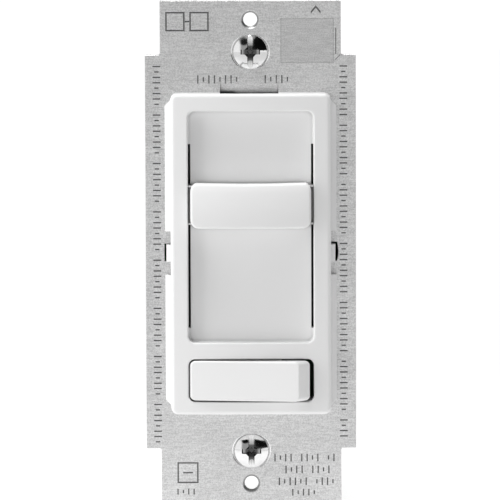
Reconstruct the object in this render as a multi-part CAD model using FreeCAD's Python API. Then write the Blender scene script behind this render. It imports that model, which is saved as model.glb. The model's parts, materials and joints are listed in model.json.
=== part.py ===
import FreeCAD, Part
import math
import os

Vec = FreeCAD.Vector

os.makedirs("parts", exist_ok=True)

# Slide dimmer with a rocker switch, for a North American wall box.
# Frame: X to the right, Z up, the front faces -Y. Y = 0 is the back face of the mounting strap.
# Every length is in millimetres and every angle in degrees.

# ---------------------------------------------------------------- mounting strap
STRAP_T = 1.5
STRAP_FRONT = -STRAP_T
STRAP_HALF_L = 52.35
TONGUE_HALF_W = 18.8
BODY_HALF_W = 21.9
BODY_HALF_L = 41.1
NOTCH_R = 0.4
STRAP_EDGE_R = 0.15
PLATE_HOLE_Z = 96.84 / 2
PLATE_HOLE_R = 1.45
PLATE_SINK_R = 1.95
PLATE_SINK_DEPTH = 0.35
BOX_SCREW_Z = 83.34 / 2
BOX_SLOT_W = 4.4
BOX_SLOT_L = 5.5
BOX_DISH_W = 7.12
BOX_DISH_L = 8.2
BOX_DISH_RUN_IN = 0.6
BOX_DISH_DEPTH = 0.35
BOX_SINK_R = 3.56
BOX_SINK_END = -0.15

# ---------------------------------------------------------------- box screws, thread 6-32
SCREW_HEAD_R = 3.5
SCREW_DOME_H = 1.25
SCREW_RIM_H = 0.1
SCREW_CONE_END = -0.05
SLOT_HALF_W = 0.62
SLOT_DEPTH = 0.45
CROSS_HALF_T = 0.5
CROSS_REACH = 2.15
CROSS_FOOT = 1.75
CROSS_WALL_DEPTH = 1.1
CROSS_DEPTH = 2.0
CORE_REACH = 1.75
CORE_FOOT = 0.5
SCREW_TIP = 21.0
SCREW_TIP_R = 1.1
THREAD_R = 1.75
THREAD_ROOT_R = 1.32
THREAD_PITCH = 0.794
THREAD_LAND = 0.12
THREAD_START = 1.0
WASHER_R = 4.1
WASHER_BORE_R = 1.5
WASHER_T = 0.8

# ---------------------------------------------------------------- bezel
BEZEL_HALF_W = 16.6
BEZEL_HALF_H = 33.3
BEZEL_FACE = -8.5
BEZEL_CORNER_R = 1.4
BEZEL_CROWN_R = 215.0
BEZEL_EDGE_R = 0.9
WING_HALF_W = 17.8
WING_HALF_H = 32.0
WING_FACE = -4.0
WING_CHAMFER = 1.4
WING_SLOPE_DEPTH = 0.6
TAB_HALF_H = 1.75
TAB_OUT = 17.55
TAB_NOTCH_H = 2.8
TAB_HOOK_IN = 15.8
WINDOW_IN = 16.5
WINDOW_OUT = 18.0
WINDOW_HALF_H = 1.85
WINDOW_BULGE = 0.25
TAB_HOOK_T = 0.9
RECESS_W = 25.95
RECESS_H = 48.0
RECESS_Z = 5.7
RECESS_CORNER_R = 1.4
RECESS_EDGE_R = 0.35
FLOOR_FRONT = -5.6
FLOOR_BACK = -4.2
CAVITY_HALF_W = 13.7
CAVITY_BOTTOM = -16.0
CAVITY_TOP = 28.5

# ---------------------------------------------------------------- slider
KNOB_Z = 10.25
KNOB_HALF_W = 12.45
KNOB_HALF_H = 4.75
KNOB_FRONT = -11.2
KNOB_BACK = -6.0
KNOB_CORNER_R = 1.8
KNOB_EDGE_R = 0.6
KNOB_CROWN_R = 105.0
KNOB_FACE_TOP = [(4.75, -10.0), (4.2, -10.36), (3.4, -10.67), (1.8, -10.975), (0.2, -11.15)]
KNOB_FACE_LOW = [(-1.2, -11.2), (-3.0, -11.12), (-4.75, -10.88)]
KNOB_BOW = 0.35
ARM_HALF_H = 4.05
ARM_ROOT_T = 0.3
ARM_NIB_FRONT = -7.6
ARM_NIB_H = 0.35
ARM_IN = 12.55
ARM_OUT = 12.9
ARM_CLEARANCE = 0.05
ARM_BACK = -1.2
ARM_HOOK_IN = 12.1
TRAVEL_UP = 8.3
TRAVEL_DOWN = 21.4
SLOT_GAP = 0.2
CARRIAGE_FRONT = -3.9
CARRIAGE_BACK = -2.1

# ---------------------------------------------------------------- slide potentiometer
POT_X = -5.0
POT_HALF_W = 4.5
POT_HALF_L = 22.5
POT_FRONT = 0.3
POT_BACK = 7.3
POT_WALL = 0.5
LEVER_HALF_T = 0.6
LEVER_HALF_L = 2.0
POT_SCREW_R = 1.0
POT_SCREW_HEAD_R = 1.8

# ---------------------------------------------------------------- rocker
ROCKER_Z = -26.15
ROCKER_TILT = 8.0
PIVOT_Y = -0.64
ROCKER_OPEN_W = 25.9
ROCKER_OPEN_H = 8.8
ROCKER_OPEN_R = 1.3
ROCKER_HALF_H = 4.15
ROCKER_HALF_W = 11.25
ROCKER_FACE_H = 9.3
ROCKER_SKIRT_ANGLE = 64.0
ROCKER_WALL = 1.2
ROCKER_CORNER_R = 1.0
ROCKER_EDGE_R = 0.45
UNDERCUT_HALF_W = 14.5
ROCKER_LIP_BACK = -7.8
COLLAR_HALF_W = 15.6
COLLAR_HALF_H = 5.4
COLLAR_BACK = 1.6
PIN_R = 0.75
PIN_CLEARANCE = 0.05
PIN_HALF_L = 5.3
HUB_R = 1.9
LUG_REACH = 6.2
LUG_TIP_R = 0.9
FORK_GAP_R = 0.95

# ---------------------------------------------------------------- switch behind the rocker
BASE_HALF_W = 11.0
BASE_HALF_H = 5.6
BASE_BACK = 12.6
BASE_CAVITY_HALF_W = 7.6
BASE_CAVITY_HALF_H = 4.0
BASE_FLOOR = 8.4
SHUTTLE_HALF_W = 5.5
SHUTTLE_HALF_H = 3.8
SHUTTLE_FRONT = 4.0
SHUTTLE_BACK = 7.8

# ---------------------------------------------------------------- mode switch above the bezel
MODE_X = -0.25
MODE_SLOT_HALF_W = 6.05
MODE_SLOT_TOP = 33.15
MODE_SLOT_BOTTOM = 32.25
MODE_SLOT_SILL = 0.2
MODE_ROLL_TOP = 36.0
MODE_ROLL_DEPTH = 0.9
MODE_BODY_HALF_W = 7.5
MODE_BODY_BOTTOM = 29.6
MODE_BODY_TOP = 34.7
MODE_BODY_BACK = 5.3
MODE_LEVER_HALF_W = 1.5
MODE_LEVER_BOTTOM = 32.45
MODE_LEVER_TOP = 32.95

# ---------------------------------------------------------------- rear housing and its screws
HOUSING_HALF_W = 21.2
HOUSING_BOTTOM = -34.5
HOUSING_TOP = 36.5
HOUSING_BACK = 28.5
HOUSING_WALL = 1.6
HOUSING_R = 2.0
COLUMN_R = 2.9
COLUMN_BORE_R = 2.2
COLUMN_SEAT = 2.8
POST_R = 1.9
POST_X = 14.6
POST_TOP_Z = 31.2
POST_LOW_Z = -17.75
POST_SCREW_R = 1.1
POST_SCREW_TIP = -5.0
LEAD_HOLE_R = 1.6
LEAD_HOLE_Z = -26.5
LEAD_X = [-9.0, -3.0, 3.0, 9.0]
SHEET_T = 0.3

# ---------------------------------------------------------------- circuit board and parts on it
BOARD_FRONT = BASE_BACK
BOARD_T = 1.6
BOARD_BACK = BOARD_FRONT + BOARD_T
BOARD_HALF_W = 19.2
BOARD_BOTTOM = -32.0
BOARD_SHOULDER = 27.9
BOARD_TOP = 34.2
BOARD_TONGUE_HALF_W = 11.0
PIN_THROUGH = 0.7
TRIAC_X = 6.0
TRIAC_HALF_W = 5.1
TRIAC_BODY_BOTTOM = -6.0
TRIAC_BODY_TOP = 3.2
TRIAC_TAB_TOP = 9.6
TRIAC_TAB_T = 1.3
TRIAC_BODY_T = 4.5
TRIAC_SCREW_Z = 6.6
TRIAC_SCREW_R = 1.5
TOROID_X = -8.8
TOROID_Z = 8.0
TOROID_RING_R = 6.4
TOROID_CORE_R = 2.8
WIRE_R = 0.45
CHOKE_TURNS = 17
FILM_CAP = (4.0, 15.0, -4.0, 14.0)
SMALL_CAP = (4.0, 11.2, 17.6, 20.4)
RESISTOR_Z = [21.5, 25.0]
RESISTOR_X = -9.0
DIAC_X = 6.5
DIAC_Z = -13.5

# ---------------------------------------------------------------- marks stamped in the strap
MARK_DEPTH = 0.2
FIELD_DEPTH = 0.08
TICK_W = 0.26

AXIS_Y = Vec(0, 1, 0)
AXIS_X = Vec(1, 0, 0)
AXIS_Z = Vec(0, 0, 1)


def block(x0, x1, y0, y1, z0, z1):
    """A box between two corners."""
    return Part.makeBox(x1 - x0, y1 - y0, z1 - z0, Vec(x0, y0, z0))


def rod_y(x, z, radius, y0, y1):
    """A round bar along Y."""
    return Part.makeCylinder(radius, y1 - y0, Vec(x, y0, z), AXIS_Y)


def rod_x(y, z, radius, x0, x1):
    """A round bar along X."""
    return Part.makeCylinder(radius, x1 - x0, Vec(x0, y, z), AXIS_X)


def rod_z(x, y, radius, z0, z1):
    """A round bar along Z."""
    return Part.makeCylinder(radius, z1 - z0, Vec(x, y, z0), AXIS_Z)


def parallel_edges(shape, direction):
    """The straight edges of a shape that run along a direction."""
    found = []
    for edge in shape.Edges:
        if len(edge.Vertexes) != 2:
            continue
        step = edge.Vertexes[1].Point - edge.Vertexes[0].Point
        if step.cross(direction).Length < 1e-6 and edge.Curve.TypeId == "Part::GeomLine":
            found.append(edge)
    return found


def slab(cx, cz, width, height, y0, y1, corner_r):
    """A plate facing Y with rounded corners."""
    plain = block(cx - width / 2, cx + width / 2, y0, y1, cz - height / 2, cz + height / 2)
    return plain.makeFillet(corner_r, parallel_edges(plain, AXIS_Y))


def edges_near_y(shape, y0, y1, half_w, z0, z1):
    """The edges that stay between two planes of constant Y, inside a window of X and Z."""
    found = []
    for edge in shape.Edges:
        box = edge.BoundBox
        flat = box.YMin > y0 - 1e-4 and box.YMax < y1 + 1e-4
        inside = box.XMin > -half_w and box.XMax < half_w and box.ZMin > z0 and box.ZMax < z1
        if flat and inside:
            found.append(edge)
    return found


def extrude_xz(points, y0, y1):
    """A prism along Y whose outline is a list of (x, z) corners."""
    corners = [Vec(x, y0, z) for x, z in points]
    face = Part.Face(Part.makePolygon(corners + [corners[0]]))
    return face.extrude(Vec(0, y1 - y0, 0))


def both_sides(shape):
    """A shape and its mirror image in the plane X = 0."""
    return [shape, shape.mirror(Vec(0, 0, 0), AXIS_X)]


def fuse_all(shapes):
    """One solid from shapes that touch."""
    return shapes[0].multiFuse(shapes[1:]).removeSplitter()


def save(node, shape):
    """Write one node, after making sure that every solid in it is sound."""
    solids = shape.Solids
    if not solids:
        raise ValueError(node + " holds no solid")
    for solid in solids:
        if not solid.isValid():
            raise ValueError(node + " holds a broken solid")
    result = solids[0] if len(solids) == 1 else Part.makeCompound(solids)
    result.exportStep("parts/" + node + ".step")


def oblong(cx, cz, length, width, y0, y1):
    """A slot-shaped bar that runs along X, cut or added along Y."""
    half = (length - width) / 2
    ends = [rod_y(cx + side * half, cz, width / 2, y0, y1) for side in (-1, 1)]
    middle = block(cx - half, cx + half, y0, y1, cz - width / 2, cz + width / 2)
    return fuse_all(ends + [middle])


def oblong_sink(cx, cz, length, width, y0, y1, run_in):
    """The cutter for a countersunk slot along X: it narrows by run_in from y0 to y1."""
    half = (length - width) / 2
    radius = width / 2
    cones = []
    for side in (-1, 1):
        foot = Vec(cx + side * half, y0, cz)
        cones.append(Part.makeCone(radius, radius - run_in, y1 - y0, foot, AXIS_Y))
    corners = [
        Vec(cx - half, y0, cz - radius),
        Vec(cx - half, y0, cz + radius),
        Vec(cx - half, y1, cz + radius - run_in),
        Vec(cx - half, y1, cz - radius + run_in),
    ]
    face = Part.Face(Part.makePolygon(corners + [corners[0]]))
    return fuse_all(cones + [face.extrude(Vec(2 * half, 0, 0))])


# ---------------------------------------------------------------- marks stamped in the strap
def tick(x, z, width, height):
    """One straight groove in the front of the strap."""
    bottom = STRAP_FRONT + MARK_DEPTH
    return block(x - width / 2, x + width / 2, STRAP_FRONT - 1, bottom, z - height / 2, z + height / 2)


def tick_line(x, z, length, height, pitch, upright, group):
    """A row of grooves from (x, z). Every group-th place is left blank. Upright rows run down Z."""
    grooves = []
    places = int(length / pitch) + 1
    for place in range(places):
        if place % group == group - 1:
            continue
        size = height if place % 3 != 1 else height * 0.55
        offset = place * pitch
        if upright:
            grooves.append(tick(x, z - offset, size, TICK_W))
        else:
            grooves.append(tick(x + offset, z, TICK_W, size))
    return grooves


def outline_box(cx, cz, width, height, line):
    """A rectangle drawn with one groove."""
    outer = tick(cx, cz, width, height)
    return outer.cut(tick(cx, cz, width - 2 * line, height - 2 * line))


def make_marks():
    marks = []
    marks += tick_line(-19.5, 38.7, 79.0, 1.6, 1.12, True, 9)
    marks += tick_line(19.3, 38.7, 78.0, 1.6, 1.12, True, 11)
    marks += tick_line(-10.9, 36.0, 8.6, 1.7, 1.15, False, 20)
    marks += tick_line(3.1, 36.0, 5.2, 1.7, 1.15, False, 20)
    marks += tick_line(4.9, -43.1, 13.4, 1.6, 1.12, False, 5)
    marks += tick_line(7.2, -45.6, 9.6, 1.6, 1.12, False, 5)
    marks += tick_line(5.8, -48.1, 12.2, 1.6, 1.12, False, 7)
    marks += tick_line(8.6, -50.4, 4.6, 1.4, 1.12, False, 20)
    marks += [outline_box(-15.6, 48.0, 4.0, 4.0, 0.3), outline_box(-10.6, 48.0, 4.0, 4.0, 0.3)]
    marks.append(tick(-13.1, 48.0, 0.9, 0.3))
    marks += [outline_box(-13.3, -46.2, 4.4, 4.4, 0.3), tick(-13.3, -46.2, 2.0, 0.3)]
    marks += tick_line(-15.4, -50.2, 4.4, 1.2, 1.12, False, 20)
    arrow = [(12.6, 50.1), (13.6, 51.3), (14.6, 50.1), (14.6, 49.6), (13.6, 50.8), (12.6, 49.6)]
    marks.append(extrude_xz(arrow, STRAP_FRONT - 1, STRAP_FRONT + MARK_DEPTH))
    field_floor = STRAP_FRONT + FIELD_DEPTH
    marks.append(block(6.3, 17.3, STRAP_FRONT - 1, field_floor, 39.4, 48.6))
    marks.append(tick(17.75, 43.9, 0.16, 5.4))
    slant = [(17.5, 40.0), (17.68, 40.0), (18.7, 41.05), (18.52, 41.05)]
    marks.append(extrude_xz(slant, STRAP_FRONT - 1, STRAP_FRONT + MARK_DEPTH / 2))
    return marks


# ---------------------------------------------------------------- mounting strap
def make_strap():
    corner_x = BODY_HALF_W
    tongue_x = TONGUE_HALF_W
    outline = [
        (-corner_x, -BODY_HALF_L),
        (-tongue_x, -BODY_HALF_L),
        (-tongue_x, -STRAP_HALF_L),
        (tongue_x, -STRAP_HALF_L),
        (tongue_x, -BODY_HALF_L),
        (corner_x, -BODY_HALF_L),
        (corner_x, BODY_HALF_L),
        (tongue_x, BODY_HALF_L),
        (tongue_x, STRAP_HALF_L),
        (-tongue_x, STRAP_HALF_L),
        (-tongue_x, BODY_HALF_L),
        (-corner_x, BODY_HALF_L),
    ]
    plate = extrude_xz(outline, STRAP_FRONT, 0)
    inner_corners = []
    for edge in parallel_edges(plate, AXIS_Y):
        at = edge.Vertexes[0].Point
        if abs(abs(at.x) - tongue_x) < 1e-6 and abs(abs(at.z) - BODY_HALF_L) < 1e-6:
            inner_corners.append(edge)
    plate = plate.makeFillet(NOTCH_R, inner_corners)
    rolled = [edge for edge in plate.Edges if edge.BoundBox.YMax < STRAP_FRONT + 1e-4]
    plate = plate.makeFillet(STRAP_EDGE_R, rolled)

    front = STRAP_FRONT - 0.001
    cutters = []
    for side in (-1, 1):
        z = side * PLATE_HOLE_Z
        cutters.append(rod_y(0, z, PLATE_HOLE_R, front, 1))
        foot = Vec(0, STRAP_FRONT, z)
        cutters.append(Part.makeCone(PLATE_SINK_R, PLATE_HOLE_R, PLATE_SINK_DEPTH, foot, AXIS_Y))
        z = side * BOX_SCREW_Z
        cutters.append(oblong(0, z, BOX_SLOT_L, BOX_SLOT_W, front, 1))
        dish_floor = STRAP_FRONT + BOX_DISH_DEPTH
        cutters.append(oblong_sink(0, z, BOX_DISH_L, BOX_DISH_W, STRAP_FRONT, dish_floor, BOX_DISH_RUN_IN))
        sink_depth = BOX_SINK_END - STRAP_FRONT
        foot = Vec(0, STRAP_FRONT, z)
        cutters.append(Part.makeCone(BOX_SINK_R, BOX_SINK_R - sink_depth, sink_depth, foot, AXIS_Y))

    gap = 0.2
    cutters.append(
        block(
            -COLLAR_HALF_W - gap,
            COLLAR_HALF_W + gap,
            front,
            1,
            ROCKER_Z - COLLAR_HALF_H - gap,
            ROCKER_Z + COLLAR_HALF_H + gap,
        )
    )
    low = KNOB_Z - TRAVEL_DOWN
    high = KNOB_Z + TRAVEL_UP
    lever_end = LEVER_HALF_L + 0.6
    cutters.append(block(POT_X - 1.0, POT_X + 1.0, front, 1, low - lever_end, high + lever_end))
    arm_end = ARM_HALF_H + 0.4
    cutters += both_sides(block(12.0, 13.6, front, 1, low - arm_end, high + arm_end))
    for side in (-1, 1):
        for z in (POST_LOW_Z, POST_TOP_Z):
            cutters.append(rod_y(side * POST_X, z, POST_R + 0.1, front, 1))
    cutters.append(block(-WINDOW_OUT, -WINDOW_IN, front, 1, -WINDOW_HALF_H, WINDOW_HALF_H))
    cutters.append(block(WINDOW_IN, WINDOW_OUT, front, 1, -WINDOW_HALF_H, WINDOW_HALF_H + 0.3))
    bulge_z = 0.15
    bulge_r = 6.0
    bulge = rod_y(WINDOW_OUT + WINDOW_BULGE - bulge_r, bulge_z, bulge_r, front, 1)
    beside = block(WINDOW_IN, WINDOW_OUT + 1, front, 1, -WINDOW_HALF_H, WINDOW_HALF_H + 0.3)
    cutters.append(bulge.common(beside))
    left = MODE_X - MODE_SLOT_HALF_W
    right = MODE_X + MODE_SLOT_HALF_W
    cutters.append(block(left, right, front, 1, MODE_SLOT_BOTTOM, MODE_SLOT_TOP))
    # above the slot the metal rolls in, tangent to the front
    rise = MODE_ROLL_TOP - MODE_SLOT_TOP
    roll_r = (rise * rise + MODE_ROLL_DEPTH * MODE_ROLL_DEPTH) / (2 * MODE_ROLL_DEPTH)
    half_rise = rise / 2
    half_way = STRAP_FRONT + roll_r - math.sqrt(roll_r * roll_r - half_rise * half_rise)
    roll_start = Vec(left, STRAP_FRONT, MODE_ROLL_TOP)
    roll_end = Vec(left, STRAP_FRONT + MODE_ROLL_DEPTH, MODE_SLOT_TOP)
    roll = Part.Arc(roll_start, Vec(left, half_way, MODE_ROLL_TOP - half_rise), roll_end).toShape()
    below = [
        roll_end,
        Vec(left, STRAP_FRONT + MODE_ROLL_DEPTH, MODE_SLOT_TOP - 0.2),
        Vec(left, STRAP_FRONT, MODE_SLOT_TOP - 0.2),
        roll_start,
    ]
    rolled_in = Part.Wire([roll] + Part.makePolygon(below).Edges)
    cutters.append(Part.Face(rolled_in).extrude(Vec(right - left, 0, 0)))
    cutters.append(rod_y(TRIAC_X, TRIAC_SCREW_Z, TRIAC_SCREW_R, front, 1))
    for z in pot_screw_places():
        cutters.append(rod_y(POT_X, z, POT_SCREW_R, front, 1))
        cutters.append(Part.makeCone(POT_SCREW_HEAD_R, POT_SCREW_R, 0.8, Vec(POT_X, STRAP_FRONT, z), AXIS_Y))
    plate = plate.cut(cutters)
    plate = plate.cut(make_marks())
    save("mounting_strap", plate)


def pot_centre_z():
    return KNOB_Z + (TRAVEL_UP - TRAVEL_DOWN) / 2


def pot_screw_places():
    reach = POT_HALF_L - 1.8
    return [pot_centre_z() - reach, pot_centre_z() + reach]


# ---------------------------------------------------------------- screws that hold the strap
def thread_corners():
    """The outline of a box screw's thread as (radius, y) corners, from its tip to the plain neck."""
    corners = [(0, SCREW_TIP), (SCREW_TIP_R, SCREW_TIP)]
    crest = SCREW_TIP - (THREAD_R - SCREW_TIP_R)
    for turn in range(int((crest - THREAD_START) / THREAD_PITCH)):
        corners.append((THREAD_R, crest))
        corners.append((THREAD_R, crest - THREAD_LAND))
        corners.append((THREAD_ROOT_R, crest - (THREAD_PITCH + THREAD_LAND) / 2))
        crest -= THREAD_PITCH
    return corners


def screw_drive(crown, z):
    """The cutters for a head's slot and the cross in its middle: four wings round a pyramid."""
    above = crown - 1
    slot_floor = crown + SLOT_DEPTH
    reach = SCREW_HEAD_R + 1
    squares = []
    for half_diagonal, y in ((CORE_REACH, crown), (CORE_FOOT, crown + CROSS_DEPTH)):
        corners = [(half_diagonal, 0), (0, half_diagonal), (-half_diagonal, 0), (0, -half_diagonal)]
        corners = [Vec(x, y, z + up) for x, up in corners]
        squares.append(Part.makePolygon(corners + [corners[0]]))
    cutters = [
        block(-SLOT_HALF_W, SLOT_HALF_W, above, slot_floor, z - reach, z + reach),
        rod_z(0, slot_floor, SLOT_HALF_W, z - reach, z + reach),
        Part.makeLoft(squares, True, True),
    ]
    wing = [(0, above), (CROSS_REACH, above), (CROSS_REACH, crown), (CROSS_FOOT, crown + CROSS_WALL_DEPTH)]
    wing.append((0, crown + CROSS_DEPTH))
    corners = [Vec(x, y, z - CROSS_HALF_T) for x, y in wing]
    plain = Part.Face(Part.makePolygon(corners + [corners[0]])).extrude(Vec(0, 0, 2 * CROSS_HALF_T))
    for turn in range(4):
        cutters.append(plain.copy())
        cutters[-1].rotate(Vec(0, crown, z), AXIS_Y, 90 * turn)
    return cutters


def make_box_screws():
    """Oval heads whose cones sit in the strap's countersinks."""
    rim = STRAP_FRONT - SCREW_RIM_H
    crown = STRAP_FRONT - SCREW_DOME_H
    cone_r = SCREW_HEAD_R - (SCREW_CONE_END - STRAP_FRONT)
    rise = rim - crown
    dome_r = (SCREW_HEAD_R**2 + rise**2) / (2 * rise)
    half_way = SCREW_HEAD_R / 2
    half_rise = dome_r - math.sqrt(dome_r**2 - half_way**2)
    screws = []
    washers = []
    for side in (-1, 1):
        z = side * BOX_SCREW_Z
        outline = [(0, crown)] + thread_corners()
        outline += [(THREAD_ROOT_R, SCREW_CONE_END), (cone_r, SCREW_CONE_END)]
        outline += [(SCREW_HEAD_R, STRAP_FRONT), (SCREW_HEAD_R, rim)]
        corners = [Vec(radius, y, z) for radius, y in outline]
        dome = Part.Arc(corners[-1], Vec(half_way, crown + half_rise, z), corners[0]).toShape()
        profile = Part.Wire(Part.makePolygon(corners).Edges + [dome])
        screw = Part.Face(profile).revolve(Vec(0, 0, z), AXIS_Y, 360)
        screws.append(screw.cut(screw_drive(crown, z)))
        washer = rod_y(0, z, WASHER_R, 0, WASHER_T)
        washers.append(washer.cut(rod_y(0, z, WASHER_BORE_R, -1, WASHER_T + 1)))
    save("box_screws", Part.makeCompound(screws))
    save("screw_retainers", Part.makeCompound(washers))


# ---------------------------------------------------------------- bezel
def make_bezel():
    body = slab(0, 0, 2 * BEZEL_HALF_W, 2 * BEZEL_HALF_H, BEZEL_FACE, STRAP_FRONT, BEZEL_CORNER_R)
    # the face is a little crowned from side to side
    crown_y = BEZEL_FACE + BEZEL_CROWN_R
    body = body.common(rod_z(0, crown_y, BEZEL_CROWN_R, -BEZEL_HALF_H - 1, BEZEL_HALF_H + 1))
    face_back = crown_y - math.sqrt(BEZEL_CROWN_R**2 - BEZEL_HALF_W**2)
    rim = edges_near_y(body, BEZEL_FACE, face_back, 99, -99, 99)
    body = body.makeFillet(BEZEL_EDGE_R, rim)
    recess = slab(0, RECESS_Z, RECESS_W, RECESS_H, BEZEL_FACE - 1, FLOOR_FRONT, RECESS_CORNER_R)
    opening = slab(
        0, ROCKER_Z, ROCKER_OPEN_W, ROCKER_OPEN_H, BEZEL_FACE - 1, COLLAR_BACK + 1, ROCKER_OPEN_R
    )
    body = body.cut([recess, opening])
    recess_low = RECESS_Z - RECESS_H / 2 - 0.2
    recess_high = RECESS_Z + RECESS_H / 2 + 0.2
    recess_rim = edges_near_y(body, BEZEL_FACE, face_back, RECESS_W / 2 + 0.2, recess_low, recess_high)
    body = body.makeFillet(RECESS_EDGE_R, recess_rim)
    open_low = ROCKER_Z - ROCKER_OPEN_H / 2 - 0.2
    open_high = ROCKER_Z + ROCKER_OPEN_H / 2 + 0.2
    open_rim = edges_near_y(body, BEZEL_FACE, face_back, ROCKER_OPEN_W / 2 + 0.2, open_low, open_high)
    body = body.makeFillet(0.3, open_rim)
    floor_rim = edges_near_y(body, FLOOR_FRONT, FLOOR_FRONT, RECESS_W / 2 + 0.2, recess_low, recess_high)
    body = body.makeFillet(0.3, floor_rim)

    step = WING_CHAMFER
    wing_outline = [
        (-WING_HALF_W, -WING_HALF_H + step),
        (-WING_HALF_W + step, -WING_HALF_H),
        (WING_HALF_W - step, -WING_HALF_H),
        (WING_HALF_W, -WING_HALF_H + step),
        (WING_HALF_W, WING_HALF_H - step),
        (WING_HALF_W - step, WING_HALF_H),
        (-WING_HALF_W + step, WING_HALF_H),
        (-WING_HALF_W, WING_HALF_H - step),
    ]
    wings = extrude_xz(wing_outline, WING_FACE, STRAP_FRONT)
    core = block(-BEZEL_HALF_W, BEZEL_HALF_W, WING_FACE - 1, 0, -BEZEL_HALF_H, BEZEL_HALF_H)
    wings = wings.cut(core)
    notches = []
    notch_middle = TAB_HALF_H + TAB_NOTCH_H / 2
    for side in (-1, 1):
        z = side * notch_middle
        half = TAB_NOTCH_H / 2
        notches += both_sides(block(BEZEL_HALF_W, WING_HALF_W + 1, WING_FACE - 1, 0, z - half, z + half))
    notches += both_sides(block(TAB_OUT, WING_HALF_W + 1, WING_FACE - 1, 0, -TAB_HALF_H, TAB_HALF_H))
    slope = [(BEZEL_HALF_W, WING_FACE), (WING_HALF_W, WING_FACE)]
    slope.append((WING_HALF_W, WING_FACE + WING_SLOPE_DEPTH))
    slope = [Vec(x, y, -WING_HALF_H) for x, y in slope]
    wedge = Part.Face(Part.makePolygon(slope + [slope[0]])).extrude(Vec(0, 0, 2 * WING_HALF_H))
    notches += both_sides(wedge)
    wings = wings.cut(notches)

    collar = block(
        -COLLAR_HALF_W,
        COLLAR_HALF_W,
        STRAP_FRONT,
        COLLAR_BACK,
        ROCKER_Z - COLLAR_HALF_H,
        ROCKER_Z + COLLAR_HALF_H,
    )
    collar = collar.cut(opening)
    additions = wings.Solids + [collar]
    tab_stem = block(16.6, TAB_OUT, STRAP_FRONT, 0.05 + TAB_HOOK_T, -TAB_HALF_H, TAB_HALF_H)
    tab_hook = block(TAB_HOOK_IN, 16.6, 0.05, 0.05 + TAB_HOOK_T, -TAB_HALF_H, TAB_HALF_H)
    additions += both_sides(tab_stem) + both_sides(tab_hook)
    for side in (-1, 1):
        for z in (POST_LOW_Z, POST_TOP_Z):
            additions.append(rod_y(side * POST_X, z, POST_R, FLOOR_BACK, 0))
    body = fuse_all([body] + additions)

    cutters = [
        block(-CAVITY_HALF_W, CAVITY_HALF_W, FLOOR_BACK, 0, CAVITY_BOTTOM, CAVITY_TOP),
        block(
            -UNDERCUT_HALF_W,
            UNDERCUT_HALF_W,
            ROCKER_LIP_BACK,
            COLLAR_BACK + 1,
            ROCKER_Z - ROCKER_OPEN_H / 2,
            ROCKER_Z + ROCKER_OPEN_H / 2,
        ),
        rod_z(0, PIVOT_Y, PIN_R, ROCKER_Z - COLLAR_HALF_H - 1, ROCKER_Z + COLLAR_HALF_H + 1),
        block(
            MODE_X - MODE_SLOT_HALF_W,
            MODE_X + MODE_SLOT_HALF_W,
            BEZEL_FACE + BEZEL_EDGE_R + MODE_SLOT_SILL,
            0,
            MODE_SLOT_BOTTOM,
            BEZEL_HALF_H + 1,
        ),
    ]
    low = KNOB_Z - TRAVEL_DOWN - ARM_HALF_H - SLOT_GAP
    high = KNOB_Z + TRAVEL_UP + ARM_HALF_H + SLOT_GAP
    slot_in = ARM_IN - ARM_CLEARANCE
    cutters += both_sides(block(slot_in, RECESS_W / 2, FLOOR_FRONT - 0.4, FLOOR_BACK + 1, low, high))
    for side in (-1, 1):
        for z in (POST_LOW_Z, POST_TOP_Z):
            cutters.append(rod_y(side * POST_X, z, POST_SCREW_R, POST_SCREW_TIP, 1))
    save("bezel_frame", body.cut(cutters))


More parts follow.
